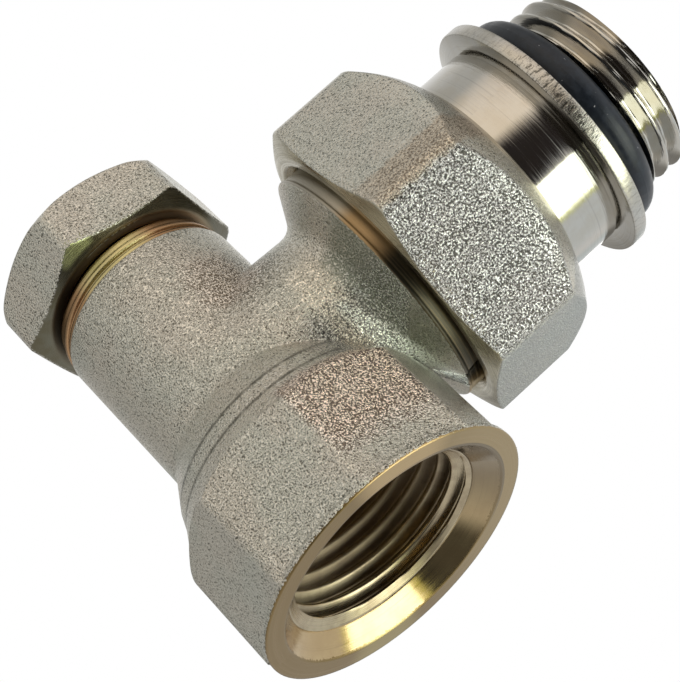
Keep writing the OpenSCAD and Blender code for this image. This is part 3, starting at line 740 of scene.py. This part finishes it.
def tail_thread(x, most):
    """The radiator thread at a station, cut off at a radius."""
    def radius(i):
        turn = (x - RING_X - THREAD_GAP) / PITCH - i / TAIL_SEG + TAIL_PHASE
        return min(G_MAJOR - G_DEPTH + pipe_thread(turn, G_DEPTH), most)
    return radius


def key_hole(grow):
    """The six-sided key hole, wider by a length in mm."""
    def radius(i):
        a = (TAU * i / TAIL_SEG + TAU / 12) % (TAU / 6) - TAU / 12
        return KEY_HALF / math.cos(a) + grow
    return radius


def tail_rings():
    """Rings of the turned tail with its real thread and its six-sided key hole."""
    profile = tail_profile()
    rows = [circle(x, r, TAIL_SEG) for x, r in profile]
    start, groove = profile[-1]
    end = TAIL_END - END_GAP
    steps = int((end - start) / THREAD_STEP)
    for k in range(1, steps + 1):
        x = start + (end - start) * k / steps
        most = min(groove + (x - start) * THREAD_RISE, G_MAJOR,
                   G_MAJOR - TIP_CHAMFER + (TAIL_END - x))
        rows.append(circle(x, tail_thread(x, most), TAIL_SEG))
    rows.append(circle(TAIL_END, TIP_R, TAIL_SEG))
    rows.append(circle(TAIL_END, key_hole(KEY_CHAMFER), TAIL_SEG))
    rows.append(circle(TAIL_END - KEY_CHAMFER, key_hole(0.0), TAIL_SEG))
    rows.append(circle(TAIL_END - KEY_DEPTH, key_hole(0.0), TAIL_SEG))
    rows.append(circle(TAIL_END - KEY_DEPTH, BORE_R, TAIL_SEG))
    rows.append(circle(TAIL_X + ENTRY_DEPTH, BORE_R, TAIL_SEG))
    return rows


def socket_turns(z, outer, least):
    """The socket's thread at a station, no deeper than a radius."""
    def radius(i):
        turn = z / PITCH - i / SOCKET_SEG + SOCKET_PHASE
        return max(outer - pipe_thread(turn, G_DEPTH), least)
    return radius


def socket_rings():
    """Rings of the socket's thread: a sleeve whose outside lies in the body's metal."""
    outer, back = G_MAJOR - SOCKET_INSET, G_MAJOR + SOCKET_SUNK
    length = SOCKET_TO - SOCKET_FROM
    steps = int(length / THREAD_STEP)
    rows = []
    for k in range(steps + 1):
        z = SOCKET_FROM + length * k / steps
        least = max(outer - z * RISE_FROM, outer - (SOCKET_TO - z) * RISE_TO,
                    G_MAJOR - G_DEPTH)
        rows.append(circle(z, socket_turns(z, outer, least), SOCKET_SEG, "Z"))
    rows.append(circle(SOCKET_TO, back, SOCKET_SEG, "Z"))
    rows.append(circle(SOCKET_FROM, back, SOCKET_SEG, "Z"))
    return rows


# Floor and lamp, in metres
FLOOR_SIZE, FLOOR_AT = (6, 6), (0, 0, -0.60)
FLOOR_COLOR, FLOOR_ROUGH, FLOOR_GLOW = (0.86, 0.86, 0.85), 0.5, 0.55
MIDDLE = Vector((0.016, 0, AX * MM))
LAMP_OFFSET, LAMP_SIZE = (0.3125, -0.0825, -0.50), (0.575, 0.385)
LAMP_LEVEL, LAMP_TINT = 3.4, (0.95, 1.0, 1.06)


def plane(name, size, at, color, rough):
    """A level square that the camera sees paler than it is lit."""
    w, h = size[0] / 2, size[1] / 2
    mesh = bpy.data.meshes.new(name)
    mesh.from_pydata([(-w, -h, 0), (w, -h, 0), (w, h, 0), (-w, h, 0)], [], [(0, 1, 2, 3)])
    o = add_object(name, mesh)
    o.location = at
    m = bpy.data.materials.new(name)
    m.use_nodes = True
    t = Tree(m.node_tree)
    seen = t.mul(t.n("ShaderNodeLightPath", out="Is Camera Ray"), FLOOR_GLOW)
    paint = t.n("ShaderNodeBsdfDiffuse", {"Color": color, "Roughness": rough})
    white = t.n("ShaderNodeEmission", {"Color": (1, 1, 1), "Strength": 1.0})
    both = t.n("ShaderNodeMixShader", {0: seen, 1: paint, 2: white})
    t.n("ShaderNodeOutputMaterial", {"Surface": both})
    mesh.materials.append(m)
    return o


def soft_box(name, offset, size, level):
    """A lamp level with the floor, facing up, at an offset in metres from the part's
    middle. level is the brightness of its face."""
    data = bpy.data.lights.new(name, "AREA")
    data.shape = "RECTANGLE"
    data.size, data.size_y = size
    data.energy = level * math.pi * size[0] * size[1]
    data.color = LAMP_TINT
    o = add_object(name, data)
    o.location = MIDDLE + Vector(offset)
    o.rotation_euler = (math.pi, 0, 0)
    o.visible_camera = False


# Tones of the studio by azimuth, elevation, inner and outer reach in degrees, and colour.
# Later ones lie over earlier ones. Elsewhere the room is nearly as white as the background.
ROOM_WHITE = (0.95, 0.95, 0.94)
ROOM = [
    (-106, 68, 12, 55, (0.68, 0.68, 0.66)),
    (-72, 15, 4, 50, (1.48, 1.31, 1.10)),
    (-118, 25, 8, 40, (0.98, 0.93, 0.85)),
    (-30, 25, 8, 34, (1.05, 0.95, 0.88)),
    (5, 40, 10, 30, (0.38, 0.38, 0.36)),
    (160, 27, 20, 60, (0.42, 0.42, 0.40)),
    (73, 24, 4, 15, (2.0, 2.0, 1.98)),
    (-127, -60, 26, 44, (0.12, 0.12, 0.11)),
    (62, -46, 14, 30, (0.92, 0.97, 1.0)),
    (72, -65, 3, 7, (1.6, 1.6, 1.5)),
    (81, 0, 8, 17, (0.74, 0.80, 0.82)),
    (95, 9, 8, 25, (0.30, 0.29, 0.27)),
    (-66, -42, 12, 15, (0.03, 0.03, 0.03)),
    (-100, -48, 18, 24, (0.04, 0.04, 0.035)),
    (-73, -30, 18, 33, (0.035, 0.03, 0.03)),
    (-97, -31, 18, 33, (0.04, 0.035, 0.03)),
]

# A yellow edge round the lamp below: its left, right, near and far sides and how soft
# they are, in units of the depth below the part
EDGE_COLOR = (1.10, 1.15, 0.42)
EDGE = (-0.02, 1.35, -0.55, 0.33)
EDGE_SOFT = 0.03


def toward(azimuth, elevation):
    a, e = math.radians(azimuth), math.radians(elevation)
    return math.cos(e) * math.cos(a), math.cos(e) * math.sin(a), math.sin(e)


def between(t, x, low, high):
    """One between two limits, with soft edges."""
    return t.mul(t.ramp(x, low - EDGE_SOFT, low + EDGE_SOFT),
                 t.ramp(x, high + EDGE_SOFT, high - EDGE_SOFT))


def make_world():
    world = bpy.data.worlds.new("world")
    bpy.context.scene.world = world
    world.use_nodes = True
    t = Tree(world.node_tree)
    way = t.vec("NORMALIZE", t.n("ShaderNodeTexCoord", out=0))
    tone = ROOM_WHITE
    for azimuth, elevation, inner, outer, color in ROOM:
        near = t.vec("DOT_PRODUCT", way, toward(azimuth, elevation), out=1)
        reach = t.ramp(near, math.cos(math.radians(outer)), math.cos(math.radians(inner)))
        tone = t.mix(reach, tone, color)
    x, y, z = t.split(way)
    depth = t.most(t.mul(z, -1.0), 0.01)
    left, right, near, far = EDGE
    edge = t.mul(between(t, t.math("DIVIDE", x, depth), left, right),
                 between(t, t.math("DIVIDE", y, depth), near, far))
    tone = t.mix(edge, tone, EDGE_COLOR)
    seen = t.n("ShaderNodeBackground", {"Color": (1, 1, 1), "Strength": 1.0})
    lit = t.n("ShaderNodeBackground", {"Color": tone, "Strength": 1.0})
    camera_ray = t.n("ShaderNodeLightPath", out="Is Camera Ray")
    both = t.n("ShaderNodeMixShader", {0: camera_ray, 1: lit, 2: seen})
    t.n("ShaderNodeOutputWorld", {"Surface": both})


make_camera()
bpy.context.scene.view_settings.view_transform = "Standard"
made = dress()

tail = sleeve("tail_turned", tail_rings(), made["tail"], TAIL_SHARP)
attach(tail, "tail")
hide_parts("tailpiece")

thread = sleeve("socket_thread_turns", socket_rings(), made["thread"], SOCKET_SHARP)
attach(thread, "body")

floor = plane("floor", FLOOR_SIZE, FLOOR_AT, FLOOR_COLOR, FLOOR_ROUGH)
floor.visible_glossy = False
soft_box("light_below", LAMP_OFFSET, LAMP_SIZE, LAMP_LEVEL)
make_world()
